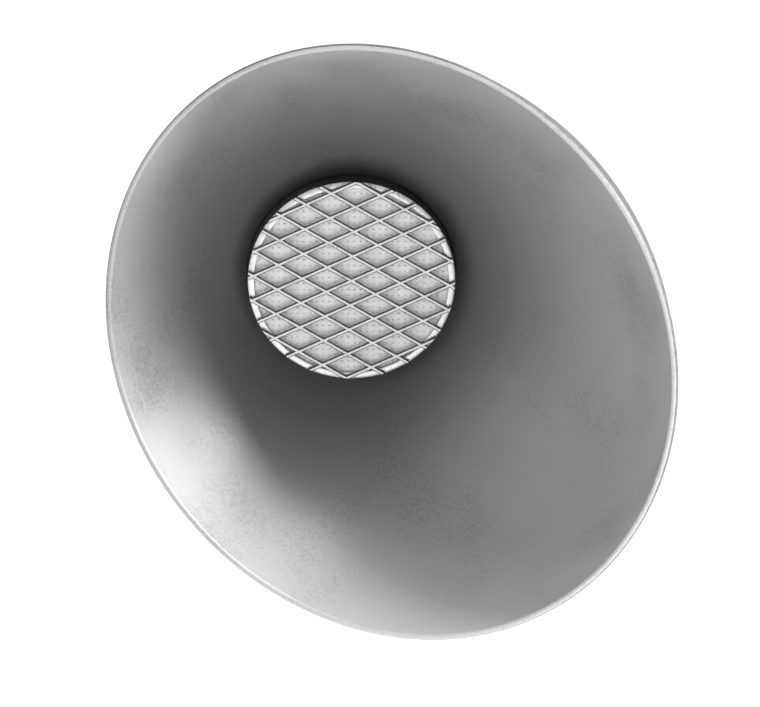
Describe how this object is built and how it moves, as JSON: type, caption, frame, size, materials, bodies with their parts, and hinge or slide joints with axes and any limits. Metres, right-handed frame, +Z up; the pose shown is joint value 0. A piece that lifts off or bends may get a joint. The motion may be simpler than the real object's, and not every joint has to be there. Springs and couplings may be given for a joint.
{
  "type": "radiant gas burner assembly",
  "caption": "Radiant gas burner with a deep round reflector raked to one side, a screened ceramic tile, a plenum, a mixer tube with an air shutter, a gas jet and a bracket.",
  "frame": {"origin": "on the burner's axis where the gas inlet's thread begins", "axes": "-Y along the burner's axis towards the fire side, +Z up, +X towards the reflector's deeper side"},
  "size_m": [0.2105, 0.3143, 0.2306],
  "materials": {
    "reflector_metal": "satin",
    "cup_metal": "satin",
    "sheet_metal": "satin",
    "shutter_metal": "satin",
    "bracket_metal": "matte",
    "screen_wire": "satin",
    "fastener_steel": "satin",
    "tile_ceramic": "matte",
    "fibre": "matte",
    "brass": "satin"
  },
  "bodies": {
    "burner": {"reflector": "reflector_metal", "throat_collar": "sheet_metal", "collar_screws": "fastener_steel", "burner_cup": "cup_metal", "mesh_screen": "screen_wire", "ceramic_tile": "tile_ceramic", "tile_wrap": "fibre", "tile_shelf": "sheet_metal", "plenum_gasket": "fibre", "plenum": "sheet_metal", "baffle_plate": "sheet_metal", "plenum_screws": "fastener_steel", "plenum_washers": "fastener_steel", "plenum_nuts": "fastener_steel", "tube_gasket": "fibre", "mixer_tube": "sheet_metal", "tube_screws": "fastener_steel", "tube_washers": "fastener_steel", "tube_nuts": "fastener_steel", "air_box": "sheet_metal", "neck_screws": "fastener_steel", "shutter_clamp_screw": "brass", "orifice_holder": "brass", "holder_washer": "fastener_steel", "holder_lock_nut": "brass", "gas_jet": "brass", "mounting_bracket": "bracket_metal"},
    "shutter": {"air_shutter": "shutter_metal"}
  },
  "joints": [
    {"name": "shutter_turn", "type": "hinge", "parent": "burner", "child": "shutter", "pos_m": [0, -0.0405, 0], "axis": [0, -1, 0], "range_deg": [0, 42]}
  ]
}
